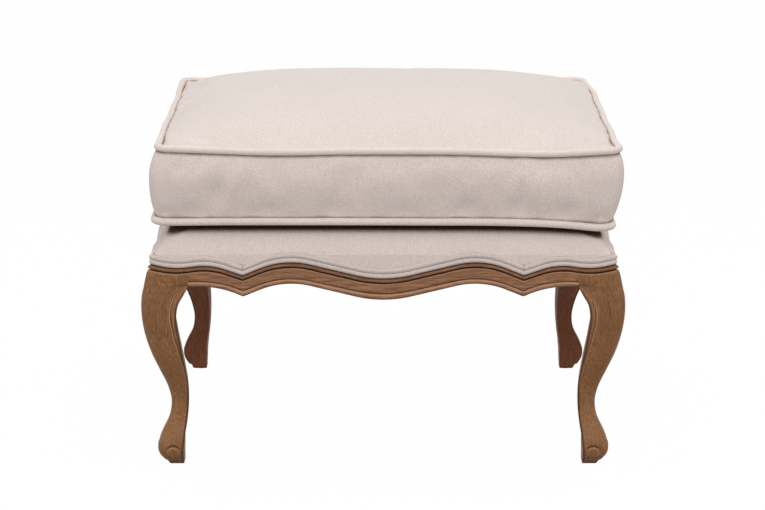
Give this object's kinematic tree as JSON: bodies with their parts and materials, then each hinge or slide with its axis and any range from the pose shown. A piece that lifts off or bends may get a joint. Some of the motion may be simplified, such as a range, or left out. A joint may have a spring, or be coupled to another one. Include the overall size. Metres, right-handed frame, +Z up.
{
  "type": "ottoman",
  "caption": "Rectangular upholstered ottoman on cabriole legs with scalloped aprons, double piping and a loose box cushion that lifts off and opens at the back with a zip.",
  "frame": {"origin": "on the floor, under the middle of the ottoman", "axes": "+X along the wide side, +Z up, and the front faces -Y"},
  "size_m": [0.6604, 0.5204, 0.496],
  "materials": {
    "show_wood": "satin stained hardwood",
    "inner_wood": "planed, unfinished",
    "cover_fabric": "smooth short-pile velvet",
    "boxing_fabric": "smooth short-pile velvet",
    "piping_fabric": "velvet over cord",
    "welt_fabric": "velvet over cord",
    "cord": "twisted cotton",
    "foam": "open-cell foam",
    "wadding": "polyester wadding",
    "webbing": "woven jute",
    "hessian": "plain-woven hessian",
    "dust_cover": "spun black cloth",
    "glide": "pressed felt",
    "steel": "zinc plated",
    "zip_tape": "woven tape",
    "zip_coil": "moulded coil",
    "zip_metal": "enamelled"
  },
  "bodies": {
    "frame": {"front_left_leg": "show_wood", "front_right_leg": "show_wood", "back_left_leg": "show_wood", "back_right_leg": "show_wood", "front_apron": "show_wood", "back_apron": "show_wood", "left_apron": "show_wood", "right_apron": "show_wood", "front_left_corner_block": "inner_wood", "front_left_glide": "glide", "front_right_corner_block": "inner_wood", "front_right_glide": "glide", "back_left_corner_block": "inner_wood", "back_left_glide": "glide", "back_right_corner_block": "inner_wood", "back_right_glide": "glide", "apron_dowels": "inner_wood", "corner_block_screws": "steel", "webbing_lengthwise_1": "webbing", "webbing_lengthwise_2": "webbing", "webbing_lengthwise_3": "webbing", "webbing_lengthwise_4": "webbing", "webbing_lengthwise_5": "webbing", "webbing_crosswise_1": "webbing", "webbing_crosswise_2": "webbing", "webbing_crosswise_3": "webbing", "webbing_crosswise_4": "webbing", "webbing_crosswise_5": "webbing", "webbing_crosswise_6": "webbing", "webbing_crosswise_7": "webbing", "webbing_staples": "steel", "hessian": "hessian", "dust_cover": "dust_cover", "dust_cover_staples": "steel", "deck_foam": "foam", "deck_wadding": "wadding", "deck_cover": "cover_fabric", "double_piping": "piping_fabric"},
    "cushion": {"cushion_top_panel": "cover_fabric", "cushion_bottom_panel": "cover_fabric", "cushion_boxing": "boxing_fabric", "cushion_back_strip_upper": "boxing_fabric", "cushion_back_strip_lower": "boxing_fabric", "cushion_top_welt": "welt_fabric", "cushion_bottom_welt": "welt_fabric", "cushion_top_welt_cord": "cord", "cushion_bottom_welt_cord": "cord", "cushion_foam": "foam", "cushion_wadding": "wadding", "cushion_zip_tape": "zip_tape", "cushion_zip_coil": "zip_coil"},
    "zip_slider": {"zip_slider": "zip_metal"},
    "zip_pull": {"zip_pull": "zip_metal"}
  },
  "joints": [
    {"name": "cushion_lift", "type": "slide", "parent": "frame", "child": "cushion", "axis": [0, 0, 1], "range_m": [0, 0.15]},
    {"name": "zip_slide", "type": "slide", "parent": "cushion", "child": "zip_slider", "axis": [1, 0, 0], "range_m": [0, 0.516]},
    {"name": "zip_pull_swing", "type": "hinge", "parent": "zip_slider", "child": "zip_pull", "pos_m": [-0.258, 0.25373, 0.4007], "axis": [1, 0, 0], "range_deg": [0, 180]}
  ]
}
